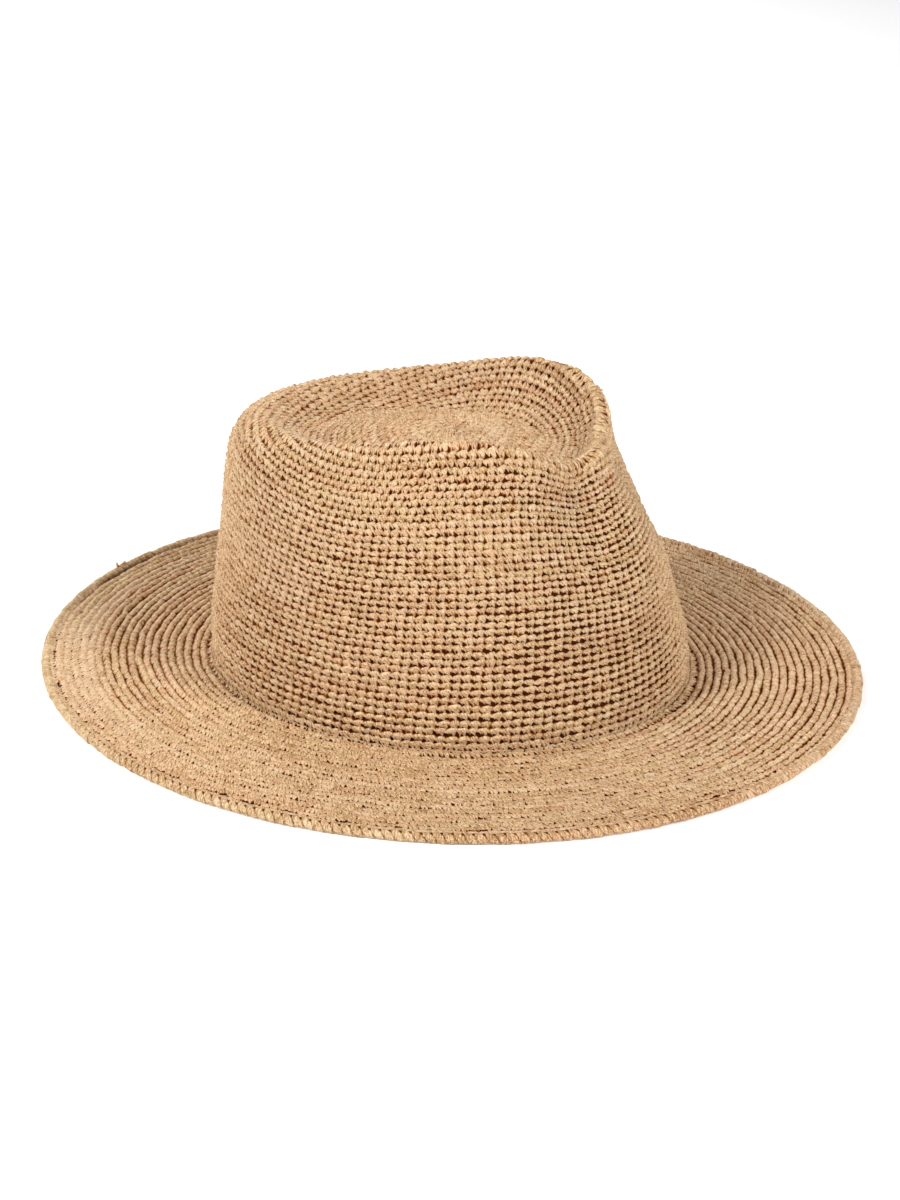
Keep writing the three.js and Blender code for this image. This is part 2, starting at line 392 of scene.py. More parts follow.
def on_wall(lattice, rounds, share, level):
    """Points in metres at given rounds and shares of the way round, level millimetres above the inner
    face. A round before the tip lies on the other side of it."""
    row = np.clip(np.abs(rounds), 0, lattice.rounds[-1]) * ROWS_PER_ROUND
    upper = np.minimum(row.astype(int), len(lattice.rounds) - 2)
    column = ((share + np.where(rounds < 0, 0.5, 0)) % 1) * COLUMNS
    left = column.astype(int) % COLUMNS
    right = (left + 1) % COLUMNS
    down = (row - upper)[:, None]
    along = (column - np.floor(column))[:, None]

    def blend(values):
        top = values[upper, left] * (1 - along) + values[upper, right] * along
        bottom = values[upper + 1, left] * (1 - along) + values[upper + 1, right] * along
        return top * (1 - down) + bottom * down

    return (blend(lattice.points) + blend(lattice.normals) * level[:, None]) * MM


def stitch_places(lattice, sizes):
    """Where each stitch of the one long spiral starts, counted in rounds from the tip."""
    places = [FIRST_ROUND]
    while places[-1] < lattice.rounds[-1]:
        girth = np.interp(places[-1], lattice.rounds, lattice.girth)
        width = sizes.stitch_width / MM * from_table(places[-1], WIDTHS)
        count = max(INCREASE, INCREASE * round(girth / width / INCREASE))
        places.append(places[-1] + 1 / (count + sizes.stitch_lean))
    return np.array(places)


def unit_grid(columns, rows):
    """A flat grid of faces over the square from 0 to 1."""
    bm = bmesh.new()
    bmesh.ops.create_grid(bm, x_segments=columns, y_segments=rows, size=0.5)
    bmesh.ops.translate(bm, verts=bm.verts, vec=(0.5, 0.5, 0))
    return bm


def new_mesh(name, bm):
    """A mesh with the faces of bm, which is freed."""
    mesh = bpy.data.meshes.new(name)
    bm.to_mesh(mesh)
    bm.free()
    return mesh


def new_object(name, data):
    """A new object in the scene."""
    made = bpy.data.objects.new(name, data)
    bpy.context.scene.collection.objects.link(made)
    return made


def stitch_mesh(name, pattern):
    """One stitch as a grid: 0 to 1 along its round and across it, with its height and its holes."""
    bm = unit_grid(len(pattern.along) - 1, len(pattern.across) - 1)
    hole = bm.verts.layers.float.new("hole")
    for vert in bm.verts:
        line = round(vert.co.y * (len(pattern.across) - 1))
        u = pattern.along[round(vert.co.x * (len(pattern.along) - 1))]
        v = pattern.across[line]
        beside = min(u, 1 - u)
        legs = smooth_step(LEGS_BEGIN, LEGS_FULL, v)
        loop = 1 - pattern.crease * math.exp(-((beside / CREASE_WIDTH) ** 2))
        side_hole = pattern.open_side * math.exp(-((beside / SIDE_HOLE_WIDTH) ** 2))
        middle_hole = pattern.open_middle * math.exp(-((abs(u - 0.5) / MIDDLE_HOLE_WIDTH) ** 2))
        rise = pattern.scallop * math.sin(math.pi * u**LOOP_LEAN) * (1 - legs)
        drop = pattern.scallop * math.sin(math.pi * u) * smooth_step(FOOT_BEGINS, 1, v) / 2
        vert.co = (u, v - rise + drop, pattern.heights[line] * loop)
        vert[hole] = legs * (side_hole + middle_hole)
    return new_mesh(name, bm)


def stitch_strip(name, pattern, count):
    """Stitches side by side in one long flat strip."""
    template = new_object(name, stitch_mesh(name, pattern))
    array = template.modifiers.new("Stitches side by side", "ARRAY")
    array.count = count
    array.use_relative_offset = False
    array.use_constant_offset = True
    array.constant_offset_displace = (1, 0, 0)
    array.use_merge_vertices = True
    array.merge_threshold = 0.002
    evaluated = template.evaluated_get(bpy.context.evaluated_depsgraph_get())
    mesh = bpy.data.meshes.new_from_object(evaluated)
    unworked = template.data
    bpy.data.objects.remove(template)
    bpy.data.meshes.remove(unworked)
    mesh.name = name
    return mesh


def read_points(mesh):
    """The mesh's vertices as rows of three numbers."""
    values = np.empty(len(mesh.vertices) * 3, np.float32)
    mesh.vertices.foreach_get("co", values)
    return values.reshape(-1, 3).astype(float)


def write_values(mesh, name, values):
    """Stores one number for each vertex under a name that the materials read."""
    layer = mesh.attributes.get(name) or mesh.attributes.new(name, "FLOAT", "POINT")
    layer.data.foreach_set("value", values.astype(np.float32))


def read_values(mesh, name):
    """The numbers stored for each vertex under a name."""
    values = np.empty(len(mesh.vertices), np.float32)
    mesh.attributes[name].data.foreach_get("value", values)
    return values.astype(float)


def write_map(mesh, name, first, second):
    """Stores a map of the surface, from two numbers for each corner of a face."""
    layer = mesh.uv_layers.new(name=name)
    layer.data.foreach_set("uv", np.stack([first, second], axis=-1).astype(np.float32).ravel())


def corner_vertices(mesh):
    """For each corner of each face, the number of its vertex and of its face."""
    vertex = np.empty(len(mesh.loops), np.int32)
    mesh.loops.foreach_get("vertex_index", vertex)
    sides = np.empty(len(mesh.polygons), np.int32)
    mesh.polygons.foreach_get("loop_total", sides)
    return vertex, np.repeat(np.arange(len(sides)), sides)


def finish_piece(name, mesh, material):
    """A new piece of the hat from its mesh, riding with the hat's one body."""
    piece = new_object(name, mesh)
    mesh.materials.clear()
    mesh.materials.append(material)
    mesh.polygons.foreach_set("use_smooth", np.full(len(mesh.polygons), True))
    mesh.update()
    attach(piece, BODY)
    return piece


def drift(rng, count, way):
    """A value for each stitch that wanders smoothly along the yarn, with a new random level every few."""
    numbers = np.arange(count)
    knots = np.arange(-way.step, count - 1 + 2 * way.step, way.step)
    return np.interp(numbers, knots, rng.normal(0, way.size, len(knots)))


def yarn_lengths(rng, count, shortest, longest):
    """One random value for each length of yarn that was used up, repeated for its stitches."""
    values = []
    while len(values) < count:
        values += [rng.normal()] * int(rng.integers(shortest, longest))
    return np.array(values[:count])


def yarn_shades(rng, count, shades):
    """A value for each stitch, partly shared by the stitches of its length of yarn."""
    by_length = shades.by_length * yarn_lengths(rng, count, shades.shortest, shades.longest)
    return shades.middle + by_length + shades.by_stitch * rng.normal(size=count)


def degrees_from_nose(places):
    """The way round of each place, in degrees, with the wearer's left side below 0."""
    turns = 2 * math.pi * places
    return np.degrees(np.arctan2(np.sin(turns), np.cos(turns)))


def pressed_flat(places, sizes):
    """By what share the grooves between two rounds are shallower, beside the temple and behind it."""
    past_foot = (places - sizes.crown_rounds) / sizes.brim_rounds
    degrees = degrees_from_nose(places)
    beside = from_table(degrees, PRESSED_TEMPLE)
    behind = from_table(degrees, PRESSED_BEHIND) * from_table(past_foot, OUTER_ROUNDS)
    return np.where(past_foot > 0, beside, 0.0), np.where(past_foot > 0, behind, 0.0)


def stitch_openness(places, sizes):
    """How open the holes are, from a place's round and its share of the way round. The walls inside the
    rim open out at the sides, the near pinch is stretched, and some stretches are more worn."""
    crown = sizes.crown_rounds
    openness = from_table(places / crown, USUAL_OPENNESS)
    turns = 2 * math.pi * places
    degrees, outside, inside = zip(*OPENNESS_ROUND)
    from_nose = degrees_from_nose(places)
    worn = 1
    for wave in WORN_WAVES:
        worn = worn + wave.size * np.sin(wave.times * turns + wave.shift * places + wave.start)
    walls = np.interp(from_nose, degrees, inside)
    sides = np.interp(from_nose, degrees, outside)
    way = np.where(places < INSIDE_RIM * crown, walls, sides) * worn
    return openness * np.where(places < crown, way, 1)


# How one piece is crocheted: its stitch, how far that rises from the web, how much the holes differ,
# and the seed of its random values
StitchRun = namedtuple("StitchRun", "pattern rise uneven seed")

# The map for baked colours: how many turns of the spiral fit across it, and the rounds it has to spare
BAKE_TURN = 1.2
BAKE_MARGIN = 2


def wind_stitches(name, lattice, places, run, sizes, material):
    """Winds a strip of stitches on to the hat, from the first to the last of the places given."""
    count = len(places) - 1
    rng = np.random.default_rng(run.seed)
    mesh = stitch_strip(name, run.pattern, count)
    along, across, lump = read_points(mesh).T
    hole = read_values(mesh, "hole")
    stitch = np.clip(along.astype(int), 0, count - 1)

    plump = 1 + PLUMP_SPREAD * np.clip(rng.normal(size=count), -2, 2) + drift(rng, count, PLUMP_DRIFT)
    joint = np.clip(np.floor(along + 0.5).astype(int), 0, count)
    openness = stitch_openness(places, sizes) * rng.uniform(1 - run.uneven, 1 + run.uneven, count + 1)
    joints = np.arange(count + 1)
    nudge = np.interp(along, joints, rng.normal(0, ALONG_SPREAD, count + 1))
    sway = np.interp(along, joints, rng.normal(0, ACROSS_SPREAD, count + 1))
    moved = along + sizes.stitch_slant * (0.5 - across) + nudge
    before_first = np.minimum(moved, 0) * (places[1] - places[0])
    past_last = np.maximum(moved - count, 0) * (places[-1] - places[-2])
    wound = np.interp(moved, joints, places) + before_first + past_last
    rounds = wound + across - 0.5 + sway
    beside, behind = pressed_flat(places, sizes)
    ridge = ((1 - beside) * (1 - behind))[joint]
    high = (1 - (1 - lump) * ridge) * plump[stitch] - hole * openness[joint]
    high = np.clip(high, LOWEST, HIGHEST)
    points = on_wall(lattice, rounds, wound, WEB_LEVEL + run.rise * high)
    mesh.vertices.foreach_set("co", points.astype(np.float32).ravel())

    tone = yarn_shades(rng, count, TONE)
    # Painted light behind the temple and painted shade beside it, on the pressed parts of the brim
    tone += drift(rng, count, TONE_DRIFT) + (BEHIND_PAINTED_LIGHT * behind + TEMPLE_PAINTED_SHADE * beside)[:-1]
    warmth = yarn_shades(rng, count, WARMTH)
    write_values(mesh, "tone", np.clip(tone, 0, 1)[stitch])
    write_values(mesh, "warmth", np.clip(warmth, 0, 1)[stitch])
    # The height also sets the painted shade that the material puts on the low places
    write_values(mesh, "height", np.clip(high, 0, 1))
    write_values(mesh, "openness", np.clip(openness, 0, 4)[joint])
    mesh.attributes.remove(mesh.attributes["hole"])

    vertex, face = corner_vertices(mesh)
    start = np.full(len(mesh.polygons), np.inf)
    np.minimum.at(start, face, wound[vertex])
    lowest = np.floor(start)[face]
    bake_along = (wound[vertex] - lowest) / BAKE_TURN
    bake_across = (rounds[vertex] + BAKE_MARGIN) / (lattice.rounds[-1] + 1 + BAKE_MARGIN)
    write_map(mesh, "strands", along[vertex], across[vertex])
    write_map(mesh, "OFBake", bake_along, bake_across)
    if run.rise < 0:
        mesh.flip_normals()
    return finish_piece(name, mesh, material)


def crochet(context, names, cuts, run, material, holes):
    """Crochets the pieces that are named, each from one cut in the spiral to the next."""
    sizes = context.scene.fedora_sizes
    lattice = hat_lattice(sizes)
    places = stitch_places(lattice, sizes)
    raffia = raffia_material(context.scene.fedora_looks, material, holes)
    ends = np.searchsorted(places, cuts)
    for index, name in enumerate(names):
        part = places[ends[index] : ends[index + 1] + 1]
        wind_stitches(name, lattice, part, run._replace(seed=run.seed + index), sizes, raffia)


# How much the raffia shines
SHINE = 0.1


def set_inputs(node, values):
    """Sets the inputs of a node that are named."""
    for name, value in values.items():
        node.inputs[name].default_value = value


def new_material(name):
    """An empty material with its node tree and its shader."""
    material = bpy.data.materials.new(name)
    material.use_nodes = True
    tree = material.node_tree
    tree.nodes.clear()
    shader = tree.nodes.new("ShaderNodeBsdfPrincipled")
    shader.location = (600, 0)
    set_inputs(shader, {"Specular IOR Level": SHINE})
    output = tree.nodes.new("ShaderNodeOutputMaterial")
    output.location = (900, 0)
    tree.links.new(shader.outputs["BSDF"], output.inputs["Surface"])
    return material, tree, shader


def add_node(tree, kind, place, **settings):
    """A node of a kind at a place in the tree, with its settings."""
    node = tree.nodes.new("ShaderNode" + kind)
    node.location = place
    for name, value in settings.items():
        setattr(node, name, value)
    return node


def math_node(tree, place, operation, first, second, third=None, clamp=False):
    """A math node of two or three values, each a number or another node's output."""
    node = add_node(tree, "Math", place, operation=operation, use_clamp=clamp)
    for socket, value in zip(node.inputs, (first, second, third)):
        if isinstance(value, bpy.types.NodeSocket):
            tree.links.new(value, socket)
        elif value is not None:
            socket.default_value = value
    return node.outputs["Value"]


# The rims of the holes: how often they turn, over stitches, how far they wander, in stitches, and how
# sharp they are
RIM_TURNS = 1.7
RIM_WANDER = 0.4
RIM_SHARPNESS = 15.0


def hole_mask(tree, strands, holes):
    """1 in the holes of the crochet, painted as shade: a slanted side, a wide bottom and an uneven rim."""
    link = tree.links.new
    uneven = add_node(tree, "TexNoise", (-1200, -600))
    set_inputs(uneven, {"Scale": RIM_TURNS, "Detail": 3.0, "Roughness": 0.6})
    shift = add_node(tree, "SeparateColor", (-1000, -600))
    place = add_node(tree, "SeparateXYZ", (-1000, -400))
    openness = add_node(tree, "Attribute", (-1000, -800), attribute_name="openness")
    link(strands, uneven.inputs["Vector"])
    link(uneven.outputs["Color"], shift.inputs["Color"])
    link(strands, place.inputs["Vector"])
    aside = math_node(tree, (-800, -500), "SUBTRACT", shift.outputs["Red"], 0.5)
    along = math_node(tree, (-650, -400), "MULTIPLY_ADD", aside, RIM_WANDER, place.outputs["X"])
    lower = math_node(tree, (-800, -650), "SUBTRACT", shift.outputs["Green"], 0.5)
    across = math_node(tree, (-650, -600), "MULTIPLY_ADD", lower, RIM_WANDER, place.outputs["Y"])

    masks = []
    for row, hole in enumerate(holes):
        level = -400 - 300 * row
        above = math_node(tree, (-450, level), "SUBTRACT", hole.bottom, across)
        leaning = math_node(tree, (-300, level), "MULTIPLY_ADD", above, -hole.skew, along)
        counted = math_node(tree, (-150, level), "ADD", leaning, hole.place + 0.5)
        part = math_node(tree, (0, level), "FRACT", counted, 0)
        right = math_node(tree, (150, level), "SUBTRACT", 0.5, part)
        left = math_node(tree, (150, level - 150), "MULTIPLY", right, -hole.narrow)
        distance = math_node(tree, (300, level), "MAXIMUM", right, left)
        fall = math_node(tree, (-300, level - 150), "SUBTRACT", across, hole.top)
        share = math_node(tree, (-150, level - 150), "DIVIDE", fall, hole.bottom - hole.top, clamp=True)
        opened = math_node(tree, (0, level - 150), "MULTIPLY", share, openness.outputs["Fac"])
        room = math_node(tree, (300, level - 150), "MULTIPLY", opened, hole.width)
        inside = math_node(tree, (450, level), "SUBTRACT", room, distance)
        mask = math_node(tree, (600, level), "MULTIPLY_ADD", inside, RIM_SHARPNESS, hole.line, clamp=True)
        masks.append(mask)
    return math_node(tree, (750, -500), "MAXIMUM", *masks)


# The grain of the raffia, over stitches: how often it changes along and across them, how fine its
# detail is, and how far each kind is set off from the others
Grain = namedtuple("Grain", "scale detail offset")
FIBRE_GRAIN = Grain((6.5, 1.3, 1.0), 4.0, 0.0)
SPECK_GRAIN = Grain((5.0, 5.0, 1.0), 3.0, 4.1)
RUST_GRAIN = Grain((3.0, 0.9, 1.0), 2.0, 11.3)

# How far the fibres slant, how strongly fibres and specks change the tone, and from what value on a
# fibre is rusty and how sharply that begins
FIBRE_SLANT = 0.6
FIBRE_CONTRAST = 2.8
SPECK_CONTRAST = 2.2
RUST_BEGINS = 0.7
RUST_SHARPNESS = 7.0

# The painted shade on the low places beside the stitches: under what height it is painted, how much at the
# bottom, and how much the fibres break that up
LOW_BELOW = 0.6
LOW_SHADE = 0.85
LOW_CONTRAST = 0.4

# The finish: how rough the raffia is, how much less so its fibres are, and how strong and how deep its
# relief is
ROUGHNESS = 0.78
FIBRE_SHEEN = 0.28
RELIEF = 0.8
RELIEF_DEPTH = 0.0008


def noise_node(tree, place, vector, grain):
    """Noise over a vector, with the scale, detail and offset of its grain."""
    spread = add_node(tree, "Mapping", (place[0] - 200, place[1]))
    set_inputs(spread, {"Location": (grain.offset, grain.offset * 0.6, 0.0), "Scale": grain.scale})
    noise = add_node(tree, "TexNoise", place)
    set_inputs(noise, {"Scale": 1.0, "Detail": grain.detail, "Roughness": 0.62})
    tree.links.new(vector, spread.inputs["Vector"])
    tree.links.new(spread.outputs["Vector"], noise.inputs["Vector"])
    return noise.outputs["Fac"]


def ramp_node(tree, place, value, stops):
    """A colour for each value, from stops of a position and a colour."""
    ramp = add_node(tree, "ValToRGB", place)
    ramp.color_ramp.elements[0].position = stops[0][0]
    ramp.color_ramp.elements[1].position = stops[-1][0]
    for position, _ in stops[1:-1]:
        ramp.color_ramp.elements.new(position)
    for element, (_, color) in zip(ramp.color_ramp.elements, stops):
        element.color = (*color, 1)
    tree.links.new(value, ramp.inputs["Fac"])
    return ramp.outputs["Color"]


def mix_node(tree, place, first, second, factor=1.0, blend="MULTIPLY"):
    """Two colours mixed, each a colour or another node's output."""
    mixed = add_node(tree, "Mix", place, data_type="RGBA", blend_type=blend)
    for name, value in (("A", first), ("B", second), ("Factor", factor)):
        if isinstance(value, bpy.types.NodeSocket):
            tree.links.new(value, mixed.inputs[name])
        else:
            mixed.inputs[name].default_value = value if name == "Factor" else (*value, 1)
    return mixed.outputs["Result"]


def raffia_material(looks, name, holes):
    """Matt raffia: slanted fibres and lengths of yarn of different tones, with painted shade, dark
    red-brown, in its holes, its creases and its low places.
    """
    found = bpy.data.materials.get(name)
    if found:
        return found
    material, tree, shader = new_material(name)
    link = tree.links.new

    strands = add_node(tree, "UVMap", (-1900, 200), uv_map="strands").outputs["UV"]
    split = add_node(tree, "SeparateXYZ", (-1700, 200))
    link(strands, split.inputs["Vector"])
    across = split.outputs["Y"]
    leaning = math_node(tree, (-1550, 300), "MULTIPLY_ADD", across, FIBRE_SLANT, split.outputs["X"])
    joined = add_node(tree, "CombineXYZ", (-1400, 200))
    link(leaning, joined.inputs["X"])
    link(across, joined.inputs["Y"])
    fibres = noise_node(tree, (-1000, 200), joined.outputs["Vector"], FIBRE_GRAIN)
    grain = noise_node(tree, (-1000, 0), strands, SPECK_GRAIN)
    rusty = noise_node(tree, (-1000, -200), joined.outputs["Vector"], RUST_GRAIN)

    tone = add_node(tree, "Attribute", (-1000, 450), attribute_name="tone").outputs["Fac"]
    streaks = math_node(tree, (-800, 250), "MULTIPLY_ADD", fibres, FIBRE_CONTRAST, -FIBRE_CONTRAST / 2)
    specks = math_node(tree, (-800, 50), "MULTIPLY_ADD", grain, SPECK_CONTRAST, -SPECK_CONTRAST / 2)
    spread = math_node(tree, (-650, 150), "ADD", streaks, specks)
    blend = math_node(tree, (-500, 350), "ADD", tone, spread, clamp=True)
    tones = [(0.02, looks.straw_brown), (0.5, looks.straw_middle), (0.98, looks.straw_pale)]
    straw = ramp_node(tree, (-350, 350), blend, tones)
    warmth = add_node(tree, "Attribute", (-500, 650), attribute_name="warmth").outputs["Fac"]
    tints = [(0, looks.green_tint), (0.5, (1, 1, 1)), (1, looks.pink_tint)]
    tinted = mix_node(tree, (50, 450), straw, ramp_node(tree, (-200, 650), warmth, tints))
    rust_level = -RUST_SHARPNESS * RUST_BEGINS
    few = math_node(tree, (-800, -200), "MULTIPLY_ADD", rusty, RUST_SHARPNESS, rust_level, clamp=True)
    streaked = mix_node(tree, (250, 350), tinted, looks.rust_fibre, few, "MIX")

    # Painted shade: low places, holes and creases are darkened towards the shade and hole colours
    height = add_node(tree, "Attribute", (-200, 0), attribute_name="height").outputs["Fac"]
    painted_shade = add_node(tree, "MapRange", (0, 0), interpolation_type="SMOOTHSTEP")
    set_inputs(painted_shade, {"From Min": 0.0, "From Max": LOW_BELOW, "To Min": LOW_SHADE, "To Max": 0.0})
    rough_height = math_node(tree, (-100, -150), "MULTIPLY_ADD", fibres, LOW_CONTRAST, -LOW_CONTRAST / 2)
    link(math_node(tree, (-50, 0), "ADD", height, rough_height), painted_shade.inputs["Value"])
    darker = math_node(tree, (950, 0), "MAXIMUM", painted_shade.outputs["Result"], hole_mask(tree, strands, holes))
    shade = ramp_node(tree, (1100, 100), darker, [(0, (1, 1, 1)), (0.45, looks.shade), (0.95, looks.hole)])
    link(mix_node(tree, (1400, 200), streaked, shade), shader.inputs["Base Color"])
    shader.location = (1700, 200)

    rough = math_node(tree, (1400, -100), "MULTIPLY_ADD", fibres, -FIBRE_SHEEN, ROUGHNESS)
    link(rough, shader.inputs["Roughness"])
    relief = add_node(tree, "Bump", (1400, -300))
    set_inputs(relief, {"Strength": RELIEF, "Distance": RELIEF_DEPTH})
    link(spread, relief.inputs["Height"])
    link(relief.outputs["Normal"], shader.inputs["Normal"])
    return material


def web_material(looks):
    """Painted shade for the web at the bottom of the holes, a little darker and paler in specks."""
    found = bpy.data.materials.get("painted_shade_web")
    if found:
        return found
    material, tree, shader = new_material("painted_shade_web")
    place = add_node(tree, "TexCoord", (-800, 0))
    specks = add_node(tree, "TexNoise", (-600, 0))
    set_inputs(specks, {"Scale": WEB_SPECKS})
    darker, paler = ([share * value for value in looks.hole] for share in (0.4, 1.2))
    color = ramp_node(tree, (-300, 0), specks.outputs["Fac"], [(0.35, darker), (0.7, paler)])
    tree.links.new(place.outputs["Object"], specks.inputs["Vector"])
    tree.links.new(color, shader.inputs["Base Color"])
    set_inputs(shader, {"Roughness": 0.9})
    return material


class FedoraSizes(bpy.types.PropertyGroup):
    """Sizes of the hat and of its stitches."""

    head_length: FloatProperty(
        name="Head length", description="Inside the head opening, front to back",
        default=0.197, min=0.15, max=0.25, unit="LENGTH", subtype="DISTANCE",
    )
    head_width: FloatProperty(
        name="Head width", description="Inside the head opening, side to side",
        default=0.1715, min=0.13, max=0.22, unit="LENGTH", subtype="DISTANCE",
    )
    brim_length: FloatProperty(
        name="Brim length", description="Over the brim's edge, front to back",
        default=0.345, min=0.25, max=0.5, unit="LENGTH", subtype="DISTANCE",
    )
    brim_width: FloatProperty(
        name="Brim width", description="Over the brim's edge, side to side",
        default=0.314, min=0.22, max=0.45, unit="LENGTH", subtype="DISTANCE",
    )
    crown_rounds: IntProperty(
        name="Crown rounds", description="Rounds of crochet from the tip to the foot of the crown",
        default=60, min=20, max=90,
    )
    brim_rounds: IntProperty(
        name="Brim rounds", description="Rounds of crochet on the brim, without the edging",
        default=21, min=8, max=40,
    )
    stitch_width: FloatProperty(
        name="Stitch width", description="From one stitch to the next along a round",
        default=0.0039, min=0.002, max=0.01, unit="LENGTH", subtype="DISTANCE", precision=4,
    )
    stitch_slant: FloatProperty(
        name="Stitch slant", description="How far a stitch leans along its round, in stitches",
        default=-0.1, min=-1, max=1,
    )
    stitch_lean: FloatProperty(
        name="Column lean", description="How far each round's stitches stand on from the last, in stitches",
        default=-0.1, min=-0.5, max=0.5,
    )


class FedoraLooks(bpy.types.PropertyGroup):
    """Colours of the straw, and of the shade painted beside and in its holes."""

    straw_pale: FloatVectorProperty(
        name="Pale straw", description="The lightest fibres",
        default=(0.97, 0.75, 0.51), min=0, max=1, subtype="COLOR",
    )
    straw_middle: FloatVectorProperty(
        name="Straw", description="The yarn's usual colour",
        default=(0.81, 0.54, 0.3), min=0, max=1, subtype="COLOR",
    )
    straw_brown: FloatVectorProperty(
        name="Brown straw", description="The darkest fibres",
        default=(0.42, 0.21, 0.08), min=0, max=1, subtype="COLOR",
    )
    green_tint: FloatVectorProperty(
        name="Greener lengths", description="Tint of the yellow-green lengths of yarn",
        default=(0.97, 1.0, 0.88), min=0, max=1, subtype="COLOR",
    )
    pink_tint: FloatVectorProperty(
        name="Pinker lengths", description="Tint of the pinkish lengths of yarn",
        default=(1.0, 0.9, 0.86), min=0, max=1, subtype="COLOR",
    )
    rust_fibre: FloatVectorProperty(
        name="Rust fibres", description="The odd red-brown fibre",
        default=(0.36, 0.12, 0.045), min=0, max=1, subtype="COLOR",
    )
    # Painted shade: the straw's colour is multiplied by this beside the holes and on the low places
    shade: FloatVectorProperty(
        name="Shaded straw", description="What is left of the straw's colour beside the holes",
        default=(0.52, 0.25, 0.07), min=0, max=1, subtype="COLOR",
    )
    # Painted shade: the colour left at the bottom of the holes, where the hat's dark inside would show
    hole: FloatVectorProperty(
        name="Holes", description="What is left of the straw's colour at the bottom of the holes",
        default=(0.085, 0.02, 0.001), min=0, max=1, subtype="COLOR",
    )


class FEDORA_OT_web(bpy.types.Operator):
    """Makes the thin web, coloured as painted shade, that lies between the outer and the inner stitches"""

    bl_idname = "fedora.web"
    bl_label = "Web between the stitches"

    def execute(self, context):
        sizes = context.scene.fedora_sizes
        lattice = hat_lattice(sizes)
        bm = unit_grid(WEB_COLUMNS, WEB_ROWS)
        grid = np.array([vert.co[:2] for vert in bm.verts])
        level = np.full(len(grid), WEB_LEVEL)
        points = on_wall(lattice, grid[:, 1] * (lattice.rounds[-1] - WEB_FREE), grid[:, 0], level)
        for vert, point in zip(bm.verts, points):
            vert.co = point
        bmesh.ops.remove_doubles(bm, verts=bm.verts, dist=0.00002)
        mesh = new_mesh("crochet_web", bm)
        web = finish_piece("crochet_web", mesh, web_material(context.scene.fedora_looks))
        thicken = web.modifiers.new("Thickness of the web", "SOLIDIFY")
        thicken.thickness = WEB_THICKNESS * MM
        thicken.offset = 0
        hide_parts("hat_body")
        return {"FINISHED"}


class FEDORA_OT_crown(bpy.types.Operator):
    """Crochets the outer face of the crown, from the tip to the foot"""

    bl_idname = "fedora.crown"
    bl_label = "Crown stitches"

    def execute(self, context):
        crown = context.scene.fedora_sizes.crown_rounds
        names = ["dome_stitches", "crown_upper_stitches", "crown_lower_stitches"]
        cuts = [FIRST_ROUND, crown * DOME_END, crown * UPPER_END, crown + FOOT_ROUNDS]
        run = StitchRun(CROWN_PATTERN, OUTER_RISE, uneven=0.5, seed=11)
        crochet(context, names, cuts, run, "raffia", CROWN_HOLES)
        return {"FINISHED"}


class FEDORA_OT_brim(bpy.types.Operator):
    """Crochets the upper face of the brim, from the foot of the crown to the edging"""

    bl_idname = "fedora.brim"
    bl_label = "Brim stitches"

    def execute(self, context):
        sizes = context.scene.fedora_sizes
        crown, brim = sizes.crown_rounds, sizes.brim_rounds
        names = ["brim_inner_stitches", "brim_outer_stitches"]
        cuts = [crown + FOOT_ROUNDS, crown + brim * BRIM_MIDDLE, crown + brim + HEM_ROUNDS]
        run = StitchRun(BRIM_PATTERN, OUTER_RISE, uneven=0.65, seed=21)
        crochet(context, names, cuts, run, "close_raffia", BRIM_HOLES)
        return {"FINISHED"}


class FEDORA_OT_inside(bpy.types.Operator):
    """Crochets the inner face of the crown and the under face of the brim"""

    bl_idname = "fedora.inside"
    bl_label = "Inside stitches"

    def execute(self, context):
        sizes = context.scene.fedora_sizes
        names = ["crown_inside_stitches", "brim_underside_stitches"]
        cuts = [FIRST_ROUND, sizes.crown_rounds, sizes.crown_rounds + sizes.brim_rounds + HEM_ROUNDS]
        run = StitchRun(INSIDE_PATTERN, INNER_RISE, uneven=0.5, seed=31)
        crochet(context, names, cuts, run, "close_raffia", BRIM_HOLES)
        return {"FINISHED"}


# The edging: its faces along one stitch and round the cord, the steps in which its ring is measured, how
# many stitches a groove slants over once round the cord, how much the cord narrows in a groove, how
# uneven its stitches are, and the seed of its random values
EDGE_STITCH_FACES = 8
EDGE_SIDES = 14
EDGE_STEPS = 1440
EDGE_SLANT = 2
EDGE_NARROWING = 0.3
EDGE_PLUMP_SPREAD = 0.06
EDGE_SEED = 41

# Painted shade along the inner side of the edging, where it meets the brim: where it shows fully, at
# degrees from the nose, how strong it is elsewhere, where it lies as a share of the way round the cord,
# elsewhere and where it shows fully, and its half width. Then how dark the painted shade in the grooves
# and on the inner side is, and the painted light that makes the edging paler where the inner shade
# doesn't show.
INNER_SHADE_SHOWS = ((15, 0), (35, 1), (110, 1), (140, 0))
INNER_SHADE_FAINT = 0.1
INNER_SHADE_PLACE = 0.36
INNER_SHADE_SHIFT = 0.09
INNER_SHADE_WIDTH = 0.07
GROOVE_PAINTED_SHADE = 1.1
INNER_SHADE_DARKNESS = 1.6
FAR_EDGE_PAINTED_LIGHT = 0.14

# The height that the edging's material reads between the grooves, less the painted shade, and how its
# map of strands is laid: when it starts again along the cord, how often it repeats round it, and how it
# differs between stitches
EDGE_HEIGHT = 1.1
STRANDS_LENGTH = 64
STRANDS_ROUND = 3
STRANDS_SHIFT = 3.7
STRANDS_KINDS = 17

EdgeLine = namedtuple("EdgeLine", "walked ring ahead aside front side")


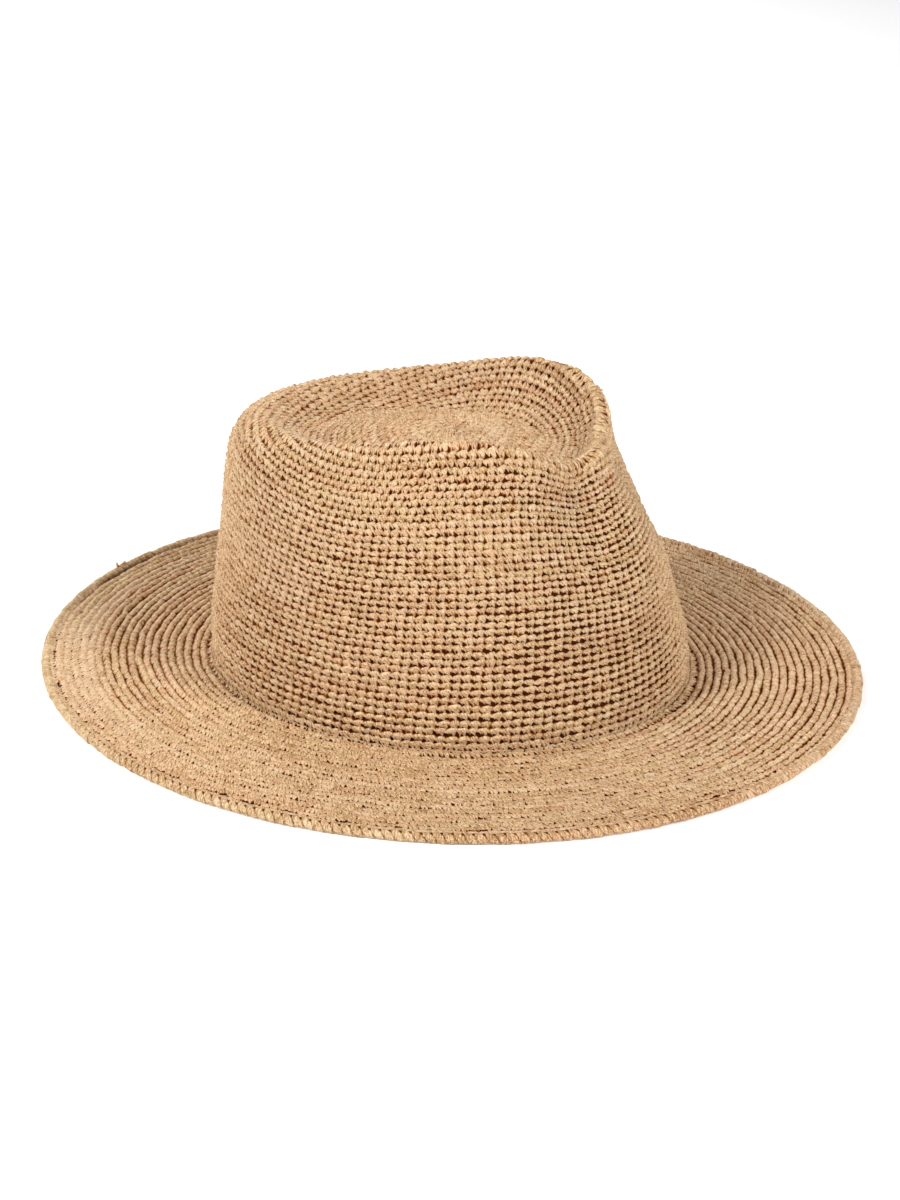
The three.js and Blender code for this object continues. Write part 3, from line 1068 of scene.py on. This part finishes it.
def edge_line(sizes):
    """The middle of the edging cord as a ring of points, and how far it is to each from the nose on."""
    front = sizes.brim_length / MM / 2 - EDGE_WIDTH / 2
    side = sizes.brim_width / MM / 2 - EDGE_WIDTH / 2
    turns = np.linspace(0, 2 * math.pi, EDGE_STEPS + 1)
    ahead, aside = oval((front, side, front), 1, turns)
    ring = np.stack([-aside, -ahead, EDGE_THICKNESS / 2 + edge_lift(turns)], axis=-1)
    walked = np.concatenate([[0], np.cumsum(np.linalg.norm(np.diff(ring, axis=0), axis=1))])
    return EdgeLine(walked, ring, ahead, aside, front, side)


def on_edge(line, share, about, swell):
    """Points in metres on the edging, at shares of the way along it and round its cord."""
    place = share * line.walked[-1]
    centre = np.stack([np.interp(place, line.walked, line.ring[:, axis]) for axis in range(3)], axis=-1)
    outward = np.stack([
        -np.interp(place, line.walked, line.aside) / line.side**2,
        -np.interp(place, line.walked, line.ahead) / line.front**2,
        np.zeros(len(place)),
    ], axis=-1)
    outward /= np.linalg.norm(outward, axis=1, keepdims=True)
    angle = 2 * math.pi * about
    points = centre + outward * (np.cos(angle) * EDGE_WIDTH / 2 * swell)[:, None]
    points[:, 2] += np.sin(angle) * EDGE_THICKNESS / 2 * swell
    return points * MM


def close_seam(mesh):
    """Joins the borders of a grid that was rolled into a ring, and turns its faces outwards."""
    bm = bmesh.new()
    bm.from_mesh(mesh)
    bmesh.ops.remove_doubles(bm, verts=bm.verts, dist=0.00001)
    bmesh.ops.recalc_face_normals(bm, faces=bm.faces)
    bm.to_mesh(mesh)
    bm.free()


class FEDORA_OT_edge(bpy.types.Operator):
    """Works the plump edging round that finishes the brim"""

    bl_idname = "fedora.edge"
    bl_label = "Edging"

    def execute(self, context):
        sizes = context.scene.fedora_sizes
        rng = np.random.default_rng(EDGE_SEED)
        line = edge_line(sizes)
        count = round(line.walked[-1] / (sizes.stitch_width / MM))
        bm = unit_grid(count * EDGE_STITCH_FACES, EDGE_SIDES)
        share, about = np.array([vert.co[:2] for vert in bm.verts]).T
        stitch = (share * count).astype(int) % count
        lean = share * count - EDGE_SLANT * about
        groove = np.abs((lean % 1) - 0.5) * 2
        plump = 1 + EDGE_PLUMP_SPREAD * rng.normal(size=count)
        swell = (1 - EDGE_NARROWING * groove**6) * plump[stitch]
        for vert, point in zip(bm.verts, on_edge(line, share, about, swell)):
            vert.co = point
        mesh = new_mesh("edge_stitches", bm)

        # Painted shade in the grooves and along the inner side where the edging meets the brim, fullest
        # beside the wearer's right side; the material reads it as a lower height
        shows = from_table(360 * share, INNER_SHADE_SHOWS)
        from_inner_shade = (about - (INNER_SHADE_PLACE - INNER_SHADE_SHIFT * shows)) / INNER_SHADE_WIDTH
        inner_shade = (INNER_SHADE_FAINT + (1 - INNER_SHADE_FAINT) * shows) * np.exp(-(from_inner_shade**2))
        painted_shade = GROOVE_PAINTED_SHADE * groove**5 + INNER_SHADE_DARKNESS * inner_shade * groove**1.5
        # Painted light: the edging's tone is paler where the inner shade isn't painted
        tone = yarn_shades(rng, count, EDGE_TONE)[stitch] + FAR_EDGE_PAINTED_LIGHT * (1 - shows)
        warmth = yarn_shades(rng, count, EDGE_WARMTH)[stitch]
        write_values(mesh, "tone", np.clip(tone, 0, 1))
        write_values(mesh, "warmth", np.clip(warmth, 0, 1))
        write_values(mesh, "height", np.clip(EDGE_HEIGHT - painted_shade, 0, 1))
        vertex, _ = corner_vertices(mesh)
        kind = STRANDS_SHIFT * (stitch[vertex] % STRANDS_KINDS)
        write_map(mesh, "strands", lean[vertex] % STRANDS_LENGTH, about[vertex] * STRANDS_ROUND + kind)
        write_map(mesh, "OFBake", share[vertex], about[vertex])
        material = raffia_material(context.scene.fedora_looks, "close_raffia", BRIM_HOLES)
        edge = finish_piece("edge_stitches", mesh, material)
        close_seam(mesh)
        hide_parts("brim_edge")
        return {"FINISHED"}


# The loose ends of yarn that stick out: the round and the share of the way round where each comes out,
# its start above the inner face and its length in millimetres, and how it leans along its round and
# down the hat beside standing up
LooseEnd = namedtuple("LooseEnd", "round share start length along down")
LOOSE_ENDS = (
    LooseEnd(81.9, 0.521, 2.6, 3.0, -0.3, 0.2),
    LooseEnd(81.8, 0.522, 3.1, 3.6, 2.5, 0.0),
    LooseEnd(22.0, 0.878, 2.2, 2.2, -0.4, 0.3),
)

# Each end is a short cone: its radius at the root in millimetres, what share of that its tip has, its
# sides, and the values that its material reads
END_RADIUS = 0.8
END_TAPER = 0.45
END_SIDES = 7
END_VALUES = (("tone", 0.5), ("warmth", 0.7), ("height", 1.0), ("openness", 0.0))


class FEDORA_OT_ends(bpy.types.Operator):
    """Adds the few short ends of yarn that stick out of the crochet"""

    bl_idname = "fedora.ends"
    bl_label = "Loose ends"

    def execute(self, context):
        sizes = context.scene.fedora_sizes
        lattice = hat_lattice(sizes)
        bm = bmesh.new()
        for end in LOOSE_ENDS:
            # The root, and a point a little above it, one down the hat from it and one along its round
            rounds = end.round + np.array([0.0, 0.0, 0.3, 0.0])
            share = end.share + np.array([0.0, 0.0, 0.0, 0.002])
            level = end.start + np.array([0.0, 1.0, 0.0, 0.0])
            root, above, below, beside = (Vector(p) for p in on_wall(lattice, rounds, share, level))
            lean = (above - root).normalized()
            lean += (beside - root).normalized() * end.along + (below - root).normalized() * end.down
            turn = lean.to_track_quat("Z", "Y").to_matrix().to_4x4()
            middle = Matrix.Translation(root + lean.normalized() * end.length * MM / 2)
            bmesh.ops.create_cone(
                bm, cap_ends=True, segments=END_SIDES, radius1=END_RADIUS * MM,
                radius2=END_RADIUS * MM * END_TAPER, depth=end.length * MM, matrix=middle @ turn,
            )
        mesh = new_mesh("loose_ends", bm)
        for name, value in END_VALUES:
            write_values(mesh, name, np.full(len(mesh.vertices), value))
        vertex, _ = corner_vertices(mesh)
        across, ahead, _ = read_points(mesh)[vertex].T / sizes.stitch_width
        write_map(mesh, "strands", across, ahead)
        material = raffia_material(context.scene.fedora_looks, "close_raffia", BRIM_HOLES)
        finish_piece("loose_ends", mesh, material)
        return {"FINISHED"}


# The camera: its angles, its distance in metres, where the middle of the picture lies to the right of the
# hat's origin and above it, and its lens and sensor in millimetres
CAMERA_AZIMUTH = math.radians(-66)
CAMERA_ELEVATION = math.radians(24.4)
CAMERA_DISTANCE = 1.344
CAMERA_ASIDE = 0.000417
CAMERA_RAISED = 0.02567
CAMERA_LENS = 96.77
CAMERA_SENSOR = 36.0

# The soft lights: where each stands towards the camera, to the picture's right and to its top, all times
# its distance in metres, with its power in watts and its size in metres
Light = namedtuple("Light", "name towards right up distance power size")
LIGHTS = (
    Light("left_light", 1, -0.8, 0.8, 1.0, 15, 0.4),
    Light("right_light", 1, 0.9, 0.4, 1.06, 18.2, 0.4),
    Light("high_light", -0.6, -0.3, 1, 1.2, 8.5, 0.5),
    Light("rear_light", 0.3, -1.2, 0.3, 1.18, 8.2, 0.5),
)

# The height that the lights face, the light from all round, and half the floor's width and its glow
LIT_HEIGHT = 0.05
WORLD_LIGHT = 0.12
FLOOR_SIZE = 8
FLOOR_GLOW = 0.22


def camera_axes():
    """The directions towards the camera, to the picture's right and to its top."""
    back = Vector((
        math.sin(CAMERA_AZIMUTH) * math.cos(CAMERA_ELEVATION),
        -math.cos(CAMERA_AZIMUTH) * math.cos(CAMERA_ELEVATION),
        math.sin(CAMERA_ELEVATION),
    ))
    right = Vector((math.cos(CAMERA_AZIMUTH), math.sin(CAMERA_AZIMUTH), 0))
    return back, right, back.cross(right)


def soft_light(light, back, right, up):
    """A square soft light that faces the hat."""
    place = (back * light.towards + right * light.right + up * light.up) * light.distance
    data = bpy.data.lights.new(light.name, "AREA")
    data.energy = light.power
    data.size = light.size
    lamp = new_object(light.name, data)
    lamp.location = place
    lamp.rotation_mode = "QUATERNION"
    lamp.rotation_quaternion = (Vector((0, 0, LIT_HEIGHT)) - place).to_track_quat("-Z", "Y")


class FEDORA_OT_stage(bpy.types.Operator):
    """Sets a plain pale floor, soft studio light and the camera"""

    bl_idname = "fedora.stage"
    bl_label = "Floor, light and camera"

    def execute(self, context):
        scene = context.scene
        bm = bmesh.new()
        bmesh.ops.create_grid(bm, x_segments=1, y_segments=1, size=FLOOR_SIZE)
        mesh = new_mesh("floor", bm)
        floor = new_object("floor", mesh)
        material, _, shader = new_material("white_paper")
        set_inputs(shader, {"Base Color": (0.92, 0.92, 0.93, 1), "Roughness": 0.9})
        set_inputs(shader, {"Specular IOR Level": 0.0})
        set_inputs(shader, {"Emission Color": (1, 1, 1, 1), "Emission Strength": FLOOR_GLOW})
        mesh.materials.append(material)

        back, right, up = camera_axes()
        for light in LIGHTS:
            soft_light(light, back, right, up)
        world = bpy.data.worlds.new("studio")
        world.use_nodes = True
        background = world.node_tree.nodes["Background"]
        set_inputs(background, {"Color": (1, 1, 1, 1), "Strength": WORLD_LIGHT})
        scene.world = world

        data = bpy.data.cameras.new("camera")
        data.lens = CAMERA_LENS
        data.sensor_width = CAMERA_SENSOR
        data.clip_start = 0.05
        data.clip_end = 50
        camera = new_object("camera", data)
        place = back * CAMERA_DISTANCE + right * CAMERA_ASIDE + up * CAMERA_RAISED
        turn = Matrix((right, up, back)).transposed().to_4x4()
        camera.matrix_world = Matrix.Translation(place) @ turn
        scene.camera = camera
        scene.view_settings.view_transform = "Standard"
        return {"FINISHED"}


class FEDORA_PT_panel(bpy.types.Panel):
    """Lists the steps of making the hat"""

    bl_label = "Straw Fedora"
    bl_idname = "FEDORA_PT_panel"
    bl_space_type = "VIEW_3D"
    bl_region_type = "UI"
    bl_category = "Fedora"

    def draw(self, context):
        layout = self.layout
        for group in (context.scene.fedora_sizes, context.scene.fedora_looks):
            column = layout.column()
            for name in group.__annotations__:
                column.prop(group, name)
        for operator in OPERATORS:
            layout.operator(operator.bl_idname)


OPERATORS = (
    FEDORA_OT_web,
    FEDORA_OT_crown,
    FEDORA_OT_brim,
    FEDORA_OT_edge,
    FEDORA_OT_inside,
    FEDORA_OT_ends,
    FEDORA_OT_stage,
)
CLASSES = (FedoraSizes, FedoraLooks, *OPERATORS, FEDORA_PT_panel)


def register():
    for item in CLASSES:
        bpy.utils.register_class(item)
    bpy.types.Scene.fedora_sizes = PointerProperty(type=FedoraSizes)
    bpy.types.Scene.fedora_looks = PointerProperty(type=FedoraLooks)


def unregister():
    del bpy.types.Scene.fedora_looks
    del bpy.types.Scene.fedora_sizes
    for item in reversed(CLASSES):
        bpy.utils.unregister_class(item)


def main():
    register()
    bpy.ops.fedora.web()
    bpy.ops.fedora.crown()
    bpy.ops.fedora.brim()
    bpy.ops.fedora.edge()
    bpy.ops.fedora.inside()
    bpy.ops.fedora.ends()
    bpy.ops.fedora.stage()


if __name__ == "__main__":
    main()
